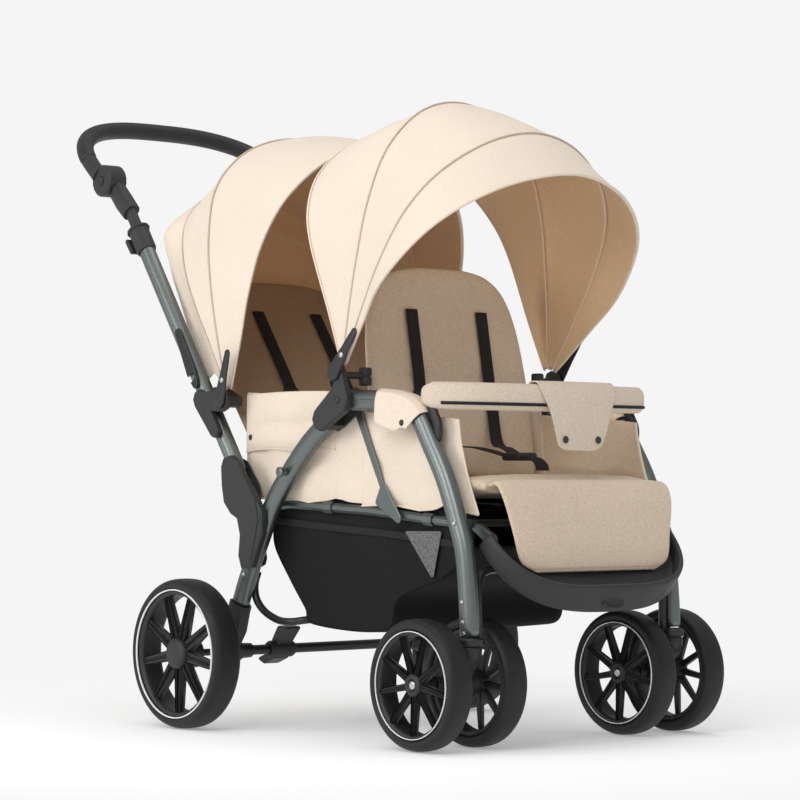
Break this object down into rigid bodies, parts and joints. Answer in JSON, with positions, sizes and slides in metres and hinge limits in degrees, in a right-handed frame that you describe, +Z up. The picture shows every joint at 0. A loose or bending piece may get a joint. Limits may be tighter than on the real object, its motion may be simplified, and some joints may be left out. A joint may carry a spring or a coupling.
{
  "type": "double buggy",
  "caption": "Tandem pushchair with two seats in line, folding side frames, twin front casters, two hooded canopies, a mesh basket and a tilting push handle.",
  "frame": {"origin": "on the floor, below the middle of the whole object", "axes": "+Z up, front of the buggy faces -Y, +X is the rider-facing right of the frame with the plain push tube, the latch hook is on -X"},
  "size_m": [0.6676, 1.2218, 1.0734],
  "materials": {
    "black_cloth": "webbing and mesh",
    "black_plastic": "fine grain",
    "cream_cloth": "plain weave",
    "dark_metal": "satin",
    "dark_plastic": "fine grain",
    "foam": "matte foam",
    "frame_metal": "satin",
    "seat_cloth": "melange weave",
    "tyre": "matte"
  },
  "bodies": {
    "rear_frame": {"apex_housing_left": "dark_plastic", "apex_housing_right": "dark_plastic", "basket": "black_cloth", "basket_tube": "dark_metal", "front_canopy_rear": "cream_cloth", "rear_axle": "dark_metal", "rear_foot_left": "black_plastic", "rear_foot_right": "black_plastic", "rear_leg_left": "frame_metal", "rear_leg_right": "frame_metal"},
    "brake_pedal": {"brake_pedal": "black_plastic"},
    "bumper_bar": {"bumper_bar": "cream_cloth", "crotch_cover": "cream_cloth"},
    "footrest": {"calf_pad": "seat_cloth", "footrest": "dark_plastic"},
    "push_bar": {"canopy_bracket_left": "dark_plastic", "canopy_bracket_right": "dark_plastic", "clamp_collar_left": "dark_plastic", "clamp_collar_right": "dark_plastic", "push_tube_left": "frame_metal", "push_tube_right": "frame_metal", "rear_canopy_rear": "cream_cloth"},
    "caster_left": {"caster_fork_left": "black_plastic"},
    "caster_right": {"caster_fork_right": "black_plastic"},
    "clamp_lever_left": {"clamp_lever_left": "dark_plastic"},
    "clamp_lever_right": {"clamp_lever_right": "dark_plastic"},
    "fold_covers": {"fold_cover_left": "dark_plastic", "fold_cover_right": "dark_plastic"},
    "fold_hook": {"fold_hook": "dark_metal"},
    "front_backrest": {"front_backrest": "seat_cloth", "front_harness": "black_cloth"},
    "front_arch": {"front_brace": "dark_metal", "front_leg_left": "frame_metal", "front_leg_right": "frame_metal", "front_seat": "seat_cloth", "rear_seat": "seat_cloth", "seat_frame": "frame_metal"},
    "front_canopy_mid": {"front_canopy_mid": "cream_cloth"},
    "front_canopy_visor": {"front_canopy_visor": "cream_cloth"},
    "front_wheel_left_inner": {"front_wheel_left_inner": "tyre"},
    "front_wheel_left_outer": {"front_wheel_left_outer": "tyre"},
    "front_wheel_right_inner": {"front_wheel_right_inner": "tyre"},
    "front_wheel_right_outer": {"front_wheel_right_outer": "tyre"},
    "handle": {"handle_grip": "foam", "handle_tube": "dark_metal", "upper_knuckle_left": "dark_plastic", "upper_knuckle_right": "dark_plastic"},
    "link_bars": {"link_bar_left": "frame_metal", "link_bar_right": "frame_metal"},
    "handle_slider": {"lower_knuckle_left": "dark_plastic", "lower_knuckle_right": "dark_plastic"},
    "rear_backrest": {"rear_backrest": "seat_cloth", "rear_harness": "black_cloth"},
    "rear_canopy_front": {"rear_canopy_front": "cream_cloth"},
    "rear_wheel_left": {"rear_wheel_left_rim": "black_plastic", "rear_wheel_left_tyre": "tyre"},
    "rear_wheel_right": {"rear_wheel_right_rim": "black_plastic", "rear_wheel_right_tyre": "tyre"},
    "tilt_button_left": {"tilt_button_left": "black_plastic"},
    "tilt_button_right": {"tilt_button_right": "black_plastic"}
  },
  "joints": [
    {"name": "frame_fold", "type": "hinge", "parent": "rear_frame", "child": "front_arch", "pos_m": [0, -0.22886, 0.535], "axis": [1, 0, 0], "range_deg": [0, 33], "deforming": ["front_canopy_rear", "front_canopy_mid", "front_canopy_visor", "rear_canopy_rear", "rear_canopy_front", "front_seat", "rear_seat", "front_backrest", "rear_backrest", "front_harness", "rear_harness", "basket", "calf_pad", "crotch_cover"]},
    {"name": "link_turn", "type": "hinge", "parent": "rear_frame", "child": "link_bars", "pos_m": [0, -0.23186, 0.515], "axis": [1, 0, 0], "range_deg": [0, 36.65]},
    {"name": "cover_turn", "type": "hinge", "parent": "rear_frame", "child": "fold_covers", "pos_m": [0, 0.01714, 0.279], "axis": [1, 0, 0], "range_deg": [-22.93, 0]},
    {"name": "push_turn", "type": "hinge", "parent": "fold_covers", "child": "push_bar", "pos_m": [0, 0.06514, 0.43], "axis": [1, 0, 0], "range_deg": [0, 101.08]},
    {"name": "caster_left_swivel", "type": "hinge", "parent": "front_arch", "child": "caster_left", "pos_m": [-0.2167, -0.51686, 0.158], "axis": [0, 0, 1], "continuous": true},
    {"name": "caster_right_swivel", "type": "hinge", "parent": "front_arch", "child": "caster_right", "pos_m": [0.2167, -0.51686, 0.158], "axis": [0, 0, 1], "continuous": true},
    {"name": "front_wheel_left_outer_spin", "type": "hinge", "parent": "caster_left", "child": "front_wheel_left_outer", "pos_m": [-0.27205, -0.46666, 0.1003], "axis": [1, 0, 0], "continuous": true},
    {"name": "front_wheel_left_inner_spin", "type": "hinge", "parent": "caster_left", "child": "front_wheel_left_inner", "pos_m": [-0.16135, -0.46666, 0.1003], "axis": [1, 0, 0], "continuous": true},
    {"name": "front_wheel_right_outer_spin", "type": "hinge", "parent": "caster_right", "child": "front_wheel_right_outer", "pos_m": [0.27205, -0.46666, 0.1003], "axis": [1, 0, 0], "continuous": true},
    {"name": "front_wheel_right_inner_spin", "type": "hinge", "parent": "caster_right", "child": "front_wheel_right_inner", "pos_m": [0.16135, -0.46666, 0.1003], "axis": [1, 0, 0], "continuous": true},
    {"name": "rear_wheel_left_spin", "type": "hinge", "parent": "rear_frame", "child": "rear_wheel_left", "pos_m": [-0.3073, 0.08514, 0.1234], "axis": [1, 0, 0], "continuous": true},
    {"name": "rear_wheel_right_spin", "type": "hinge", "parent": "rear_frame", "child": "rear_wheel_right", "pos_m": [0.3073, 0.08514, 0.1234], "axis": [1, 0, 0], "continuous": true},
    {"name": "brake_tilt", "type": "hinge", "parent": "rear_frame", "child": "brake_pedal", "pos_m": [0, 0.08514, 0.1234], "axis": [1, 0, 0], "range_deg": [0, 15]},
    {"name": "clamp_left_open", "type": "hinge", "parent": "push_bar", "child": "clamp_lever_left", "pos_m": [-0.217, 0.36777, 0.82637], "axis": [1, 0, 0], "range_deg": [0, 60]},
    {"name": "clamp_right_open", "type": "hinge", "parent": "push_bar", "child": "clamp_lever_right", "pos_m": [0.217, 0.36777, 0.82637], "axis": [1, 0, 0], "range_deg": [0, 60]},
    {"name": "hook_turn", "type": "hinge", "parent": "push_bar", "child": "fold_hook", "pos_m": [-0.2302, 0.21164, 0.66], "axis": [1, 0, 0], "range_deg": [-42, 0]},
    {"name": "handle_length", "type": "slide", "parent": "push_bar", "child": "handle_slider", "axis": [0, 0.5692, 0.8222], "range_m": [0, 0.08]},
    {"name": "handle_tilt", "type": "hinge", "parent": "handle_slider", "child": "handle", "pos_m": [0, 0.44314, 0.94], "axis": [1, 0, 0], "range_deg": [-35, 35]},
    {"name": "tilt_button_left_press", "type": "slide", "parent": "handle", "child": "tilt_button_left", "axis": [1, 0, 0], "range_m": [0, 0.003], "stiffness_N_per_m": 400},
    {"name": "tilt_button_right_press", "type": "slide", "parent": "handle", "child": "tilt_button_right", "axis": [-1, 0, 0], "range_m": [0, 0.003], "stiffness_N_per_m": 400},
    {"name": "front_canopy_fold", "type": "hinge", "parent": "rear_frame", "child": "front_canopy_visor", "pos_m": [0, -0.22286, 0.579], "axis": [1, 0, 0], "range_deg": [-52, 0]},
    {"name": "front_canopy_mid_turn", "type": "hinge", "parent": "rear_frame", "child": "front_canopy_mid", "pos_m": [0, -0.22286, 0.579], "axis": [1, 0, 0], "range_deg": [-26, 0]},
    {"name": "rear_canopy_fold", "type": "hinge", "parent": "push_bar", "child": "rear_canopy_front", "pos_m": [0, 0.08214, 0.541], "axis": [1, 0, 0], "range_deg": [-28, 0]},
    {"name": "front_backrest_recline", "type": "hinge", "parent": "front_arch", "child": "front_backrest", "pos_m": [0, -0.24586, 0.415], "axis": [1, 0, 0], "range_deg": [-25, 0]},
    {"name": "rear_backrest_recline", "type": "hinge", "parent": "push_bar", "child": "rear_backrest", "pos_m": [0, 0.02884, 0.4058], "axis": [1, 0, 0], "range_deg": [-30, 20]},
    {"name": "bumper_swing", "type": "hinge", "parent": "front_arch", "child": "bumper_bar", "pos_m": [0.212, -0.40986, 0.5395], "axis": [0, 0, 1], "range_deg": [0, 100]},
    {"name": "footrest_tilt", "type": "hinge", "parent": "front_arch", "child": "footrest", "pos_m": [0, -0.52686, 0.318], "axis": [1, 0, 0], "range_deg": [-40, 0]}
  ],
  "couplings": [
    {"joint": "link_turn", "follows": "frame_fold", "ratio": 1.1105},
    {"joint": "cover_turn", "follows": "frame_fold", "ratio": -0.69474},
    {"joint": "push_turn", "follows": "frame_fold", "ratio": 3.0632},
    {"joint": "front_canopy_mid_turn", "follows": "front_canopy_fold", "ratio": 0.5}
  ]
}
